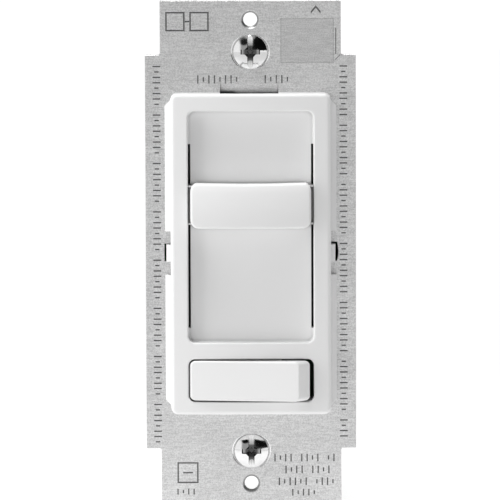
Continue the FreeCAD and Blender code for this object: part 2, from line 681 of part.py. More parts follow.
# ---------------------------------------------------------------- slider
def make_slider():
    knob = slab(
        0, KNOB_Z, 2 * KNOB_HALF_W, 2 * KNOB_HALF_H, KNOB_FRONT, KNOB_BACK, KNOB_CORNER_R
    )
    # the face bulges both ways and rolls over at the top: its outline is turned about an upright axis
    points = [Vec(0, y, KNOB_Z + height) for height, y in KNOB_FACE_TOP + KNOB_FACE_LOW]
    face_line = Part.BSplineCurve()
    face_line.interpolate(points)
    ahead = [
        points[-1],
        Vec(0, KNOB_FRONT - 2, points[-1].z),
        Vec(0, KNOB_FRONT - 2, points[0].z),
        points[0],
    ]
    outline = Part.Wire([face_line.toShape()] + Part.makePolygon(ahead).Edges)
    crown_axis = Vec(0, KNOB_FRONT + KNOB_CROWN_R, 0)
    half_turn = math.degrees(KNOB_HALF_W / KNOB_CROWN_R) + 1
    cutter = Part.Face(outline)
    cutter.rotate(crown_axis, AXIS_Z, -half_turn)
    knob = knob.cut(cutter.revolve(crown_axis, AXIS_Z, 2 * half_turn))
    # the top edge sinks a little towards its middle
    bow_half = KNOB_HALF_W + 2.0
    bow_r = (bow_half * bow_half + KNOB_BOW * KNOB_BOW) / (2 * KNOB_BOW)
    bow_z = KNOB_Z + KNOB_HALF_H - KNOB_BOW + bow_r
    knob = knob.cut(rod_y(0, bow_z, bow_r, KNOB_FRONT - 1, KNOB_BACK + 1))
    rim = [edge for edge in knob.Edges if edge.BoundBox.YMax < KNOB_BACK - 0.5]
    knob = knob.makeFillet(KNOB_EDGE_R, rim)
    pocket = block(
        -KNOB_HALF_W + 1.4,
        KNOB_HALF_W - 1.4,
        KNOB_FRONT + 2.3,
        KNOB_BACK + 1,
        KNOB_Z - KNOB_HALF_H + 1.3,
        KNOB_Z + KNOB_HALF_H - 1.7,
    )
    knob = knob.cut(pocket)
    arm_low = KNOB_Z - ARM_HALF_H
    arm_high = KNOB_Z + ARM_HALF_H
    root = block(11.6, ARM_OUT, KNOB_BACK - ARM_ROOT_T, KNOB_BACK, arm_low, arm_high)
    arm = block(ARM_IN, ARM_OUT, KNOB_BACK - ARM_ROOT_T, ARM_BACK, arm_low, arm_high)
    low_nib = block(11.6, ARM_OUT, ARM_NIB_FRONT, KNOB_BACK, arm_low, arm_low + ARM_NIB_H)
    high_nib = block(11.6, ARM_OUT, ARM_NIB_FRONT, KNOB_BACK, arm_high - ARM_NIB_H, arm_high)
    hook = block(ARM_HOOK_IN, ARM_IN, CARRIAGE_BACK, ARM_BACK, arm_low, arm_high)
    nibs = both_sides(low_nib) + both_sides(high_nib)
    knob = fuse_all([knob] + both_sides(root) + both_sides(arm) + both_sides(hook) + nibs)
    save("slider_knob", knob)

    carriage = block(
        -ARM_IN, ARM_IN, CARRIAGE_FRONT, CARRIAGE_BACK, KNOB_Z - ARM_HALF_H, KNOB_Z + ARM_HALF_H
    )
    carriage = carriage.makeChamfer(0.4, parallel_edges(carriage, AXIS_X))
    socket = block(
        POT_X - LEVER_HALF_T,
        POT_X + LEVER_HALF_T,
        CARRIAGE_FRONT - 1,
        0,
        KNOB_Z - LEVER_HALF_L,
        KNOB_Z + LEVER_HALF_L,
    )
    windows = []
    for x in (1.5, 6.5):
        windows.append(block(x, x + 3.4, CARRIAGE_FRONT - 1, 0, KNOB_Z - 2.2, KNOB_Z + 2.2))
    save("slider_carriage", carriage.cut([socket] + windows))


# ---------------------------------------------------------------- slide potentiometer
def make_pot():
    low = pot_centre_z() - POT_HALF_L
    high = pot_centre_z() + POT_HALF_L
    left = POT_X - POT_HALF_W
    right = POT_X + POT_HALF_W
    wall = POT_WALL
    shell = block(left, right, POT_FRONT, POT_BACK, low, high)
    hollow = block(left + wall, right - wall, POT_FRONT + wall, POT_BACK + 1, low + wall, high - wall)
    first = KNOB_Z - TRAVEL_DOWN - LEVER_HALF_L - 0.6
    last = KNOB_Z + TRAVEL_UP + LEVER_HALF_L + 0.6
    lever_slot = block(POT_X - 1.0, POT_X + 1.0, 0, POT_FRONT + 1, first, last)
    holes = [rod_y(POT_X, z, POT_SCREW_R, 0, POT_FRONT + 1) for z in pot_screw_places()]
    save("pot_shell", shell.cut([hollow, lever_slot] + holes))

    board_front = 5.9
    board = block(left + wall, right - wall, board_front, POT_BACK, low + wall, high - wall)
    pins = []
    pin_slots = []
    for x, z in ((-2.0, low + 2.2), (2.0, low + 2.2), (0.0, high - 2.2)):
        pin_x = POT_X + x
        end = BOARD_BACK + PIN_THROUGH
        pins.append(block(pin_x - 0.4, pin_x + 0.4, board_front + 0.4, end, z - 0.25, z + 0.25))
        pin_slots.append(block(pin_x - 0.4, pin_x + 0.4, board_front + 0.4, end, z - 0.25, z + 0.25))
    save("pot_track_board", board.cut(pin_slots))
    save("pot_pins", Part.makeCompound(pins))
    tracks = []
    for x in (-1.6, 1.6):
        tracks.append(
            block(POT_X + x - 0.8, POT_X + x + 0.8, board_front - 0.05, board_front, low + 3.5, high - 3.5)
        )
    save("pot_tracks", Part.makeCompound(tracks))

    lever = block(
        POT_X - LEVER_HALF_T,
        POT_X + LEVER_HALF_T,
        -3.6,
        1.4,
        KNOB_Z - LEVER_HALF_L,
        KNOB_Z + LEVER_HALF_L,
    )
    saddle = block(POT_X - 3.6, POT_X + 3.6, 1.2, 4.2, KNOB_Z - 4.0, KNOB_Z + 4.0)
    save("pot_slider", fuse_all([saddle, lever]))
    wipers = []
    for x in (-1.6, 1.6):
        foot = block(POT_X + x - 0.6, POT_X + x + 0.6, 4.2, 4.5, KNOB_Z - 3.4, KNOB_Z + 3.4)
        arm_points = [
            Vec(POT_X + x - 0.4, 4.5, KNOB_Z + 3.4),
            Vec(POT_X + x - 0.4, 4.5, KNOB_Z + 2.6),
            Vec(POT_X + x - 0.4, 5.75, KNOB_Z - 2.2),
            Vec(POT_X + x - 0.4, 5.8, KNOB_Z - 3.0),
            Vec(POT_X + x - 0.4, 5.55, KNOB_Z - 3.0),
            Vec(POT_X + x - 0.4, 5.45, KNOB_Z - 2.2),
            Vec(POT_X + x - 0.4, 4.4, KNOB_Z + 1.8),
            Vec(POT_X + x - 0.4, 4.4, KNOB_Z + 3.4),
        ]
        arm = Part.Face(Part.makePolygon(arm_points + [arm_points[0]])).extrude(Vec(0.8, 0, 0))
        wipers.append(fuse_all([foot, arm]))
    save("pot_wipers", Part.makeCompound(wipers))

    screws = []
    for z in pot_screw_places():
        head = Part.makeCone(POT_SCREW_HEAD_R, POT_SCREW_R, 0.8, Vec(POT_X, STRAP_FRONT, z), AXIS_Y)
        shank = rod_y(POT_X, z, POT_SCREW_R, STRAP_FRONT + 0.8, 2.4)
        screw = fuse_all([head, shank])
        slot = block(POT_X - 0.25, POT_X + 0.25, STRAP_FRONT - 1, STRAP_FRONT + 0.4, z - 2, z + 2)
        screws.append(screw.cut(slot))
    save("pot_screws", Part.makeCompound(screws))


# ---------------------------------------------------------------- rocker
def rocker_point(angle, radius):
    """A point at an angle from straight forward, measured towards +X about the pivot."""
    turn = math.radians(angle)
    return Vec(radius * math.sin(turn), PIVOT_Y - radius * math.cos(turn), ROCKER_Z - ROCKER_HALF_H)


def make_rocker():
    outer_r = math.hypot(ROCKER_HALF_W, ROCKER_FACE_H)
    corner_angle = math.degrees(math.atan2(ROCKER_HALF_W, ROCKER_FACE_H))
    end_angle = ROCKER_SKIRT_ANGLE
    middle_angle = (corner_angle + end_angle) / 2
    right_arc = Part.Arc(
        rocker_point(corner_angle, outer_r),
        rocker_point(middle_angle, outer_r),
        rocker_point(end_angle, outer_r),
    ).toShape()
    left_arc = Part.Arc(
        rocker_point(-end_angle, outer_r),
        rocker_point(-middle_angle, outer_r),
        rocker_point(-corner_angle, outer_r),
    ).toShape()
    edges = [
        Part.makeLine(rocker_point(-corner_angle, outer_r), rocker_point(corner_angle, outer_r)),
        right_arc,
        Part.makeLine(rocker_point(end_angle, outer_r), rocker_point(-end_angle, outer_r)),
        left_arc,
    ]
    cap = Part.Face(Part.Wire(edges)).extrude(Vec(0, 0, 2 * ROCKER_HALF_H))
    face_y = PIVOT_Y - ROCKER_FACE_H
    skirt_edges = []
    for edge in cap.Edges:
        if edge.BoundBox.ZLength < 0.01 and edge.Curve.TypeId == "Part::GeomCircle":
            skirt_edges.append(edge)
    cap = cap.makeFillet(ROCKER_CORNER_R, skirt_edges)
    rim = [edge for edge in cap.Edges if edge.BoundBox.YMax < face_y + 0.8]
    cap = cap.makeFillet(ROCKER_EDGE_R, rim)
    wall = ROCKER_WALL
    inner_x = outer_r * math.sin(math.radians(corner_angle)) - wall
    pocket = block(
        -inner_x,
        inner_x,
        face_y + wall,
        PIVOT_Y,
        ROCKER_Z - ROCKER_HALF_H + wall,
        ROCKER_Z + ROCKER_HALF_H - wall,
    )
    cap = cap.cut(pocket)
    low = ROCKER_Z - 3.9
    high = ROCKER_Z + 3.9
    hub = rod_z(0, PIVOT_Y, HUB_R, low, high)
    web = block(-1.0, 1.0, face_y + 0.6, PIVOT_Y, ROCKER_Z - 3.4, ROCKER_Z + 3.4)
    tip_y = PIVOT_Y + LUG_REACH
    neck = block(-0.6, 0.6, PIVOT_Y, tip_y, ROCKER_Z - 2.6, ROCKER_Z + 2.6)
    tip = rod_z(0, tip_y, LUG_TIP_R, ROCKER_Z - 2.6, ROCKER_Z + 2.6)
    rocker = fuse_all([cap, hub, web, neck, tip])
    rocker = rocker.cut(rod_z(0, PIVOT_Y, PIN_R + PIN_CLEARANCE, low - 1, high + 1))
    rocker.rotate(Vec(0, PIVOT_Y, ROCKER_Z), AXIS_Z, -ROCKER_TILT)
    save("rocker_button", rocker)
    pin = rod_z(0, PIVOT_Y, PIN_R, ROCKER_Z - PIN_HALF_L, ROCKER_Z + PIN_HALF_L)
    save("rocker_pin", pin)


# ---------------------------------------------------------------- switch behind the rocker
def make_switch():
    shift = LUG_REACH * math.sin(math.radians(ROCKER_TILT))
    base = block(
        -BASE_HALF_W,
        BASE_HALF_W,
        COLLAR_BACK,
        BASE_BACK,
        ROCKER_Z - BASE_HALF_H,
        ROCKER_Z + BASE_HALF_H,
    )
    hollow = block(
        -BASE_CAVITY_HALF_W,
        BASE_CAVITY_HALF_W,
        COLLAR_BACK - 1,
        BASE_FLOOR,
        ROCKER_Z - BASE_CAVITY_HALF_H,
        ROCKER_Z + BASE_CAVITY_HALF_H,
    )
    pads = [(-5.2, -0.6), (2.4, 5.6)]
    contacts = []
    pockets = []
    for x0, x1 in pads:
        pad = block(x0, x1, BASE_FLOOR, BASE_FLOOR + 0.6, ROCKER_Z - 2.4, ROCKER_Z + 2.4)
        middle = (x0 + x1) / 2
        leg = block(
            middle - 0.6,
            middle + 0.6,
            BASE_FLOOR + 0.6,
            BOARD_BACK + PIN_THROUGH,
            ROCKER_Z - 0.4,
            ROCKER_Z + 0.4,
        )
        contact = fuse_all([pad, leg])
        contacts.append(contact)
        pockets.append(contact.copy())
    spring_slot = block(-4.6, 4.6, 3.0, 6.6, ROCKER_Z + 4.0, ROCKER_Z + 5.1)
    base = base.cut([hollow, spring_slot] + pockets)
    save("switch_base", base)
    save("switch_terminals", Part.makeCompound(contacts))

    shuttle = block(
        shift - SHUTTLE_HALF_W,
        shift + SHUTTLE_HALF_W,
        SHUTTLE_FRONT,
        SHUTTLE_BACK,
        ROCKER_Z - SHUTTLE_HALF_H,
        ROCKER_Z + SHUTTLE_HALF_H,
    )
    fork = block(
        shift - FORK_GAP_R,
        shift + FORK_GAP_R,
        SHUTTLE_FRONT - 1,
        6.9,
        ROCKER_Z - 3.0,
        ROCKER_Z + 3.0,
    )
    # two shallow valleys on the upper side hold the shuttle at either end
    top = ROCKER_Z + SHUTTLE_HALF_H
    valleys = []
    for place in (0, 2 * shift):
        points = [
            Vec(place - 0.85, SHUTTLE_FRONT - 1, top + 0.01),
            Vec(place + 0.85, SHUTTLE_FRONT - 1, top + 0.01),
            Vec(place, SHUTTLE_FRONT - 1, top - 0.4),
        ]
        face = Part.Face(Part.makePolygon(points + [points[0]]))
        valleys.append(face.extrude(Vec(0, SHUTTLE_BACK - SHUTTLE_FRONT + 2, 0)))
    save("switch_shuttle", shuttle.cut([fork] + valleys))

    strip = block(
        shift - 4.6, shift + 4.6, SHUTTLE_BACK, SHUTTLE_BACK + 0.3, ROCKER_Z - 1.8, ROCKER_Z + 1.8
    )
    ribs = []
    for x in (-3.6, 3.6):
        ribs.append(rod_z(shift + x, SHUTTLE_BACK + 0.2, 0.36, ROCKER_Z - 1.8, ROCKER_Z + 1.8))
    keep = block(-9, 9, SHUTTLE_BACK, SHUTTLE_BACK + 1, ROCKER_Z - 3, ROCKER_Z + 3)
    save("moving_contact", fuse_all([strip] + ribs).common(keep))

    leaf_z = ROCKER_Z + 4.6
    leaf = block(-4.4, 4.4, 3.4, 6.2, leaf_z, leaf_z + 0.3)
    bump = rod_y(0, leaf_z + 0.15, 0.75, 3.4, 6.2)
    bump = bump.common(block(-2, 2, 3, 7, leaf_z - 2, leaf_z + 0.2))
    save("detent_spring", fuse_all([leaf, bump]))


# ---------------------------------------------------------------- mode switch above the bezel
def make_mode_switch():
    left = MODE_X - MODE_SLOT_HALF_W
    right = MODE_X + MODE_SLOT_HALF_W
    body = block(
        MODE_X - MODE_BODY_HALF_W,
        MODE_X + MODE_BODY_HALF_W,
        SHEET_T,
        MODE_BODY_BACK,
        MODE_BODY_BOTTOM,
        MODE_BODY_TOP,
    )
    chamber = block(left - 0.6, right + 0.6, 1.2, 4.3, 30.4, 34.0)
    window = block(left, right, 0, 2, MODE_SLOT_BOTTOM, MODE_SLOT_TOP)
    pins = []
    for x in (-4.0, 0.0, 4.0):
        pin_x = MODE_X + x
        pins.append(block(pin_x - 0.3, pin_x + 0.3, 4.3, BOARD_BACK + PIN_THROUGH, 31.8, 32.3))
    body = body.cut([chamber, window] + [pin.copy() for pin in pins])
    save("mode_switch_body", body)
    save("mode_switch_pins", Part.makeCompound(pins))
    lever_x = left + 0.2 + MODE_LEVER_HALF_W
    tongue = block(
        lever_x - MODE_LEVER_HALF_W,
        lever_x + MODE_LEVER_HALF_W,
        -1.3,
        1.6,
        MODE_LEVER_BOTTOM,
        MODE_LEVER_TOP,
    )
    shoe = block(lever_x - 1.9, lever_x + 1.9, 1.4, 3.7, 30.7, 33.7)
    save("mode_lever", fuse_all([shoe, tongue]))
    clip = block(lever_x - 1.7, lever_x + 1.7, 3.7, 3.9, 31.2, 32.9)
    rib = rod_z(lever_x, 3.85, 0.35, 31.2, 32.9).common(block(-20, 20, 3.7, 5, 30, 35))
    save("mode_contact", fuse_all([clip, rib]))


# ---------------------------------------------------------------- rear housing
def post_places():
    places = []
    for side in (-1, 1):
        for z in (POST_LOW_Z, POST_TOP_Z):
            places.append((side * POST_X, z))
    return places


def make_housing():
    middle = (HOUSING_TOP + HOUSING_BOTTOM) / 2
    height = HOUSING_TOP - HOUSING_BOTTOM
    shell = slab(0, middle, 2 * HOUSING_HALF_W, height, 0, HOUSING_BACK, HOUSING_R)
    shell = shell.makeFillet(1.0, edges_near_y(shell, HOUSING_BACK, HOUSING_BACK, 99, -99, 99))
    wall = HOUSING_WALL
    inner = slab(
        0, middle, 2 * (HOUSING_HALF_W - wall), height - 2 * wall, -1, HOUSING_BACK - wall, 1.0
    )
    shell = shell.cut(inner)
    columns = [rod_y(x, z, COLUMN_R, SHEET_T, HOUSING_BACK - 0.5) for x, z in post_places()]
    shell = fuse_all([shell] + columns)
    cutters = []
    for x, z in post_places():
        cutters.append(rod_y(x, z, COLUMN_BORE_R, COLUMN_SEAT, HOUSING_BACK + 1))
        cutters.append(rod_y(x, z, POST_SCREW_R + 0.1, -1, COLUMN_SEAT + 1))
    for x in LEAD_X:
        cutters.append(rod_y(x, LEAD_HOLE_Z, LEAD_HOLE_R, HOUSING_BACK - wall - 1, HOUSING_BACK + 1))
    cutters.append(slab(0, 5.0, 26.0, 36.0, HOUSING_BACK - 0.3, HOUSING_BACK + 1, 1.0))
    save("rear_housing", shell.cut(cutters))

    screws = []
    for x, z in post_places():
        shank = rod_y(x, z, POST_SCREW_R, POST_SCREW_TIP, COLUMN_SEAT)
        head = rod_y(x, z, 2.0, COLUMN_SEAT, COLUMN_SEAT + 1.4)
        head = head.makeFillet(0.5, edges_near_y(head, COLUMN_SEAT + 1.4, COLUMN_SEAT + 1.4, 99, -99, 99))
        screw = fuse_all([shank, head])
        top = COLUMN_SEAT + 1.4
        cross = [
            block(x - 1.2, x + 1.2, top - 0.8, top + 1, z - 0.3, z + 0.3),
            block(x - 0.3, x + 0.3, top - 0.8, top + 1, z - 1.2, z + 1.2),
        ]
        screws.append(screw.cut(cross))
    save("housing_screws", Part.makeCompound(screws))


def make_sheet():
    inner_x = HOUSING_HALF_W - HOUSING_WALL - 0.2
    middle = (HOUSING_TOP + HOUSING_BOTTOM) / 2
    height = HOUSING_TOP - HOUSING_BOTTOM - 2 * HOUSING_WALL - 0.4
    sheet = slab(0, middle, 2 * inner_x, height, 0, SHEET_T, 1.0)
    low = KNOB_Z - TRAVEL_DOWN - LEVER_HALF_L - 0.6
    high = KNOB_Z + TRAVEL_UP + LEVER_HALF_L + 0.6
    gap = 0.2
    cutters = [
        block(
            -COLLAR_HALF_W - gap,
            COLLAR_HALF_W + gap,
            -1,
            1,
            ROCKER_Z - COLLAR_HALF_H - gap,
            ROCKER_Z + COLLAR_HALF_H + gap,
        ),
        block(POT_X - 1.0, POT_X + 1.0, -1, 1, low, high),
        block(
            MODE_X - MODE_SLOT_HALF_W,
            MODE_X + MODE_SLOT_HALF_W,
            -1,
            1,
            MODE_SLOT_BOTTOM,
            MODE_SLOT_TOP,
        ),
        block(
            TRIAC_X - TRIAC_HALF_W - 0.2,
            TRIAC_X + TRIAC_HALF_W + 0.2,
            -1,
            1,
            TRIAC_BODY_BOTTOM - 0.2,
            TRIAC_TAB_TOP + 0.2,
        ),
        block(-19.0, -14.2, -1, 1, 5.6, 14.4),
    ]
    cutters += both_sides(block(TAB_HOOK_IN - 0.3, TAB_OUT + 0.5, -1, 1, -2.2, 2.2))
    for x, z in post_places():
        cutters.append(rod_y(x, z, POST_SCREW_R + 0.1, -1, 1))
    for z in pot_screw_places():
        cutters.append(rod_y(POT_X, z, POT_SCREW_R, -1, 1))
    save("insulator_sheet", sheet.cut(cutters))


# ---------------------------------------------------------------- circuit board and its parts
def lead_pairs():
    """Where the wire legs of the parts on the back of the board go through it."""
    places = []
    places += [(FILM_CAP[0] + 5.5, FILM_CAP[2] + 1.8), (FILM_CAP[0] + 5.5, FILM_CAP[3] - 1.8)]
    places += [(SMALL_CAP[0] + 1.1, 19.0), (SMALL_CAP[1] - 1.1, 19.0)]
    for z in RESISTOR_Z:
        places += [(RESISTOR_X - 5.0, z), (RESISTOR_X + 5.0, z)]
    places += [(DIAC_X - 3.6, DIAC_Z), (DIAC_X + 3.6, DIAC_Z)]
    places += [(TOROID_X + 2.0, TOROID_Z - 11.8), (TOROID_X + 5.0, TOROID_Z - 11.2)]
    return places


def triac_lead_x():
    return [TRIAC_X - 2.54, TRIAC_X, TRIAC_X + 2.54]


def triac_legs():
    legs = []
    for x in triac_lead_x():
        down = block(x - 0.4, x + 0.4, 2.9, 3.4, -9.6, TRIAC_BODY_BOTTOM + 0.8)
        back = block(x - 0.4, x + 0.4, 2.9, BOARD_BACK + PIN_THROUGH, -10.1, -9.6)
        legs.append(fuse_all([down, back]))
    return legs


def make_board():
    board = block(-BOARD_HALF_W, BOARD_HALF_W, BOARD_FRONT, BOARD_BACK, BOARD_BOTTOM, BOARD_SHOULDER)
    tongue = block(
        -BOARD_TONGUE_HALF_W,
        BOARD_TONGUE_HALF_W,
        BOARD_FRONT,
        BOARD_BACK,
        BOARD_SHOULDER - 1,
        BOARD_TOP,
    )
    board = fuse_all([board, tongue])
    front = BOARD_FRONT - 1
    back = BOARD_BACK + 1
    cutters = [rod_y(side * POST_X, POST_LOW_Z, COLUMN_R + 0.2, front, back) for side in (-1, 1)]
    low = pot_centre_z() - POT_HALF_L + 2.2
    high = pot_centre_z() + POT_HALF_L - 2.2
    for x, z in ((-2.0, low), (2.0, low), (0.0, high)):
        cutters.append(block(POT_X + x - 0.4, POT_X + x + 0.4, front, back, z - 0.25, z + 0.25))
    for x in triac_lead_x():
        cutters.append(block(x - 0.4, x + 0.4, front, back, -10.1, -9.6))
    for x in (-2.9, 4.0):
        cutters.append(block(x - 0.6, x + 0.6, front, back, ROCKER_Z - 0.4, ROCKER_Z + 0.4))
    for x in (-4.0, 0.0, 4.0):
        cutters.append(block(MODE_X + x - 0.3, MODE_X + x + 0.3, front, back, 31.8, 32.3))
    save("circuit_board", board.cut(cutters))

    joints = []
    for x, z in lead_pairs():
        joints.append(Part.makeCone(0.35, 0.9, 0.7, Vec(x, BOARD_FRONT - 0.7, z), AXIS_Y))
    save("solder_joints", Part.makeCompound(joints))

    eyelets = []
    for x in LEAD_X:
        z = LEAD_HOLE_Z - 3.4
        tube = rod_y(x, z, 1.5, BOARD_BACK, BOARD_BACK + 3.4)
        flange = rod_y(x, z, 2.1, BOARD_BACK, BOARD_BACK + 0.4)
        eyelets.append(fuse_all([tube, flange]).cut(rod_y(x, z, 1.0, BOARD_BACK + 0.4, BOARD_BACK + 5)))
    save("lead_sockets", Part.makeCompound(eyelets))


def make_triac():
    left = TRIAC_X - TRIAC_HALF_W
    right = TRIAC_X + TRIAC_HALF_W
    pad = block(left, right, 0, SHEET_T, TRIAC_BODY_BOTTOM, TRIAC_TAB_TOP)
    hole = rod_y(TRIAC_X, TRIAC_SCREW_Z, TRIAC_SCREW_R, -1, 5)
    save("triac_pad", pad.cut(hole))
    tab_back = SHEET_T + TRIAC_TAB_T
    tab = block(left, right, SHEET_T, tab_back, TRIAC_BODY_BOTTOM, TRIAC_TAB_TOP)
    corners = []
    for edge in parallel_edges(tab, AXIS_Y):
        if edge.Vertexes[0].Point.z > TRIAC_TAB_TOP - 1:
            corners.append(edge)
    tab = tab.makeChamfer(1.0, corners)
    save("triac_tab", tab.cut(rod_y(TRIAC_X, TRIAC_SCREW_Z, 1.8, -1, 5)))
    case = block(left, right, tab_back, SHEET_T + TRIAC_BODY_T, TRIAC_BODY_BOTTOM, TRIAC_BODY_TOP)
    rim = edges_near_y(case, SHEET_T + TRIAC_BODY_T, SHEET_T + TRIAC_BODY_T, 99, -99, 99)
    case = case.makeChamfer(0.3, rim)
    legs = triac_legs()
    save("triac_case", case.cut([leg.copy() for leg in legs]))
    save("triac_leads", Part.makeCompound(legs))
    shank = rod_y(TRIAC_X, TRIAC_SCREW_Z, TRIAC_SCREW_R, -1.4, tab_back)
    head = rod_y(TRIAC_X, TRIAC_SCREW_Z, 2.8, tab_back, tab_back + 2.0)
    head = head.makeFillet(0.7, edges_near_y(head, tab_back + 2.0, tab_back + 2.0, 99, -99, 99))
    screw = fuse_all([shank, head])
    slot_front = tab_back + 1.1
    slot = block(TRIAC_X - 4, TRIAC_X + 4, slot_front, 9, TRIAC_SCREW_Z - 0.35, TRIAC_SCREW_Z + 0.35)
    save("triac_screw", screw.cut(slot))


def make_choke():
    turn_r = TOROID_CORE_R + WIRE_R + 0.02
    centre = Vec(TOROID_X, BOARD_BACK + turn_r + WIRE_R, TOROID_Z)
    core = Part.makeTorus(TOROID_RING_R, TOROID_CORE_R, centre, AXIS_Y)
    save("choke_core", core)
    turns = []
    for number in range(CHOKE_TURNS):
        angle = math.radians(110 + number * 320 / (CHOKE_TURNS - 1))
        outward = Vec(math.cos(angle), 0, math.sin(angle))
        place = centre + outward * TOROID_RING_R
        turns.append(Part.makeTorus(turn_r, WIRE_R, place, outward.cross(AXIS_Y)))
    save("choke_winding", Part.makeCompound(turns))


def make_small_parts():
    x0, x1, z0, z1 = FILM_CAP
    film = block(x0, x1, BOARD_BACK, BOARD_BACK + 10.8, z0, z1)
    save("film_capacitor", film.makeFillet(0.8, film.Edges))
    x0, x1, z0, z1 = SMALL_CAP
    small = block(x0, x1, BOARD_BACK, BOARD_BACK + 6.0, z0, z1)
    save("timing_capacitor", small.makeFillet(0.5, small.Edges))

    resistors = []
    for z in RESISTOR_Z:
        y = BOARD_BACK + 1.3
        body = rod_x(y, z, 1.1, RESISTOR_X - 2.6, RESISTOR_X + 2.6)
        parts = [body]
        for side in (-1, 1):
            bell = RESISTOR_X + side * 2.9
            leg_x = RESISTOR_X + side * 5.0
            first = min(bell, leg_x)
            parts.append(rod_x(y, z, 1.3, bell - 0.7, bell + 0.7))
            parts.append(rod_x(y, z, 0.3, first, first + 2.1))
            parts.append(rod_y(leg_x, z, 0.3, BOARD_BACK, y))
            parts.append(Part.makeSphere(0.3, Vec(leg_x, y, z)))
        resistors.append(fuse_all(parts))
    save("resistors", Part.makeCompound(resistors))

    y = BOARD_BACK + 1.1
    parts = [rod_x(y, DIAC_Z, 0.95, DIAC_X - 2.0, DIAC_X + 2.0)]
    for side in (-1, 1):
        leg_x = DIAC_X + side * 3.6
        first = min(DIAC_X + side * 1.8, leg_x)
        parts.append(rod_x(y, DIAC_Z, 0.25, first, first + 1.8))
        parts.append(rod_y(leg_x, DIAC_Z, 0.25, BOARD_BACK, y))
        parts.append(Part.makeSphere(0.25, Vec(leg_x, y, DIAC_Z)))
    save("diac", fuse_all(parts))


def make_ground_lug():
    plate = block(-18.6, -14.6, 0, 0.6, 6.0, 14.0)
    barrel = rod_z(-16.6, 1.9, 1.5, 9.4, 13.6)
    barrel = barrel.cut(rod_z(-16.6, 1.9, 1.0, 9.0, 14.0))
    save("ground_lug", fuse_all([plate, barrel]))


make_strap()
make_box_screws()
make_bezel()
make_slider()
make_pot()
make_rocker()
make_switch()
make_mode_switch()
make_housing()
make_sheet()
make_board()
make_triac()
make_choke()
make_small_parts()
make_ground_lug()
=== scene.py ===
import json
import math

import bpy
from mathutils import Matrix, Vector


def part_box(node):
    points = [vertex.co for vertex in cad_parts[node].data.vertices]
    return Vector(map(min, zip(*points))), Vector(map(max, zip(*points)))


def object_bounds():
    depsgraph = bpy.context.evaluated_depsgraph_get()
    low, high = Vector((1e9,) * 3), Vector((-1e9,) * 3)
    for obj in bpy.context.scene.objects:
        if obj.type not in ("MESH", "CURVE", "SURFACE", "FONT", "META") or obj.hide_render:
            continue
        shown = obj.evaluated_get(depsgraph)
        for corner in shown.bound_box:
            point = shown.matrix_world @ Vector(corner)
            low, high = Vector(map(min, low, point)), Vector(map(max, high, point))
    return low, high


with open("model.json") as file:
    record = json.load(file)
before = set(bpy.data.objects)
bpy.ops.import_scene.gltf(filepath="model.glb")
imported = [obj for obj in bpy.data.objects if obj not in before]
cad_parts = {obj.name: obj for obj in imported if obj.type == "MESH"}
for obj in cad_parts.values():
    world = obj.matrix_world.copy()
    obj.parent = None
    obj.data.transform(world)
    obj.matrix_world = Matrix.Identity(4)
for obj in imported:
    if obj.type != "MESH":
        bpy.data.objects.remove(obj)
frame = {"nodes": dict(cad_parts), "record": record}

cad_low, cad_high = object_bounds()

# ---------------------------------------------------------------- camera
LENS_MM = 310.0
SENSOR_MM = 36.0
VIEW_WIDTH = 0.10412  # what the picture's width takes in at the strap
CAMERA_ELEVATION = math.radians(4.5)
CAMERA_ROLL = math.radians(-0.19)
AIM_RIGHT = -0.000185
AIM_UP = 0.00045
CLIP_NEAR = 0.05
CLIP_FAR = 50.0

strap_low, strap_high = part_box("mounting_strap")
strap_front = Vector((0, strap_low.y, (strap_low.z + strap_high.z) / 2))


def make_camera():
    """A long lens, square on to the strap and a little above it."""
    data = bpy.data.cameras.new("camera")
    data.type = "PERSP"
    data.lens = LENS_MM
    data.sensor_width = SENSOR_MM
    data.clip_start = CLIP_NEAR
    data.clip_end = CLIP_FAR
    camera = bpy.data.objects.new("camera", data)
    bpy.context.scene.collection.objects.link(camera)
    back = Vector((0, -math.cos(CAMERA_ELEVATION), math.sin(CAMERA_ELEVATION)))
    distance = VIEW_WIDTH * LENS_MM / SENSOR_MM
    aim = strap_front + Vector((AIM_RIGHT, 0, AIM_UP))
    turn = (-back).to_track_quat("-Z", "Y").to_matrix() @ Matrix.Rotation(CAMERA_ROLL, 3, "Z")
    camera.matrix_world = Matrix.Translation(aim + back * distance) @ turn.to_4x4()
    bpy.context.scene.camera = camera


make_camera()

# ---------------------------------------------------------------- surroundings
# A direction is given in degrees off the front axis, and around it from +X towards +Z.
TENT_WHITE = 0.29
TENT_FRONT = 0.34
FRONT_PLACE = {"off_axis": 14.0, "around": 70.0}
FRONT_FADE = (0.3, 0.8)  # cosines of the angle from that direction
HORIZON_WHITE = 1.06
HORIZON_FADE = (0.05, 0.09)  # sines of the height above the horizon
WHITE_CARD = {"off_axis": 78.0, "around": 172.0, "radius": 30.0, "edge": 14.0}
WHITE_CARD_LEVEL = 1.0
UPPER_RIGHT_BLACK_CARD = {"off_axis": 58.0, "around": 30.0, "radius": 33.0, "edge": 5.0}
UPPER_LEFT_BLACK_CARD = {"off_axis": 49.0, "around": 122.0, "radius": 13.0, "edge": 4.0}
BLACK_CARD_LEVEL = 0.01  # how much of the tent's light it leaves

FLOOR_HALF = 3.0
FLOOR_GAP = 0.0003
FLOOR_GREY = 0.2
FLOOR_ROUGHNESS = 0.9
FLOOR_GLOW = 0.94
FLOOR_GLOW_FRONT = 0.72
FLOOR_FADE_FRONT_Y = -0.09
FLOOR_FADE_BACK_Y = -0.01

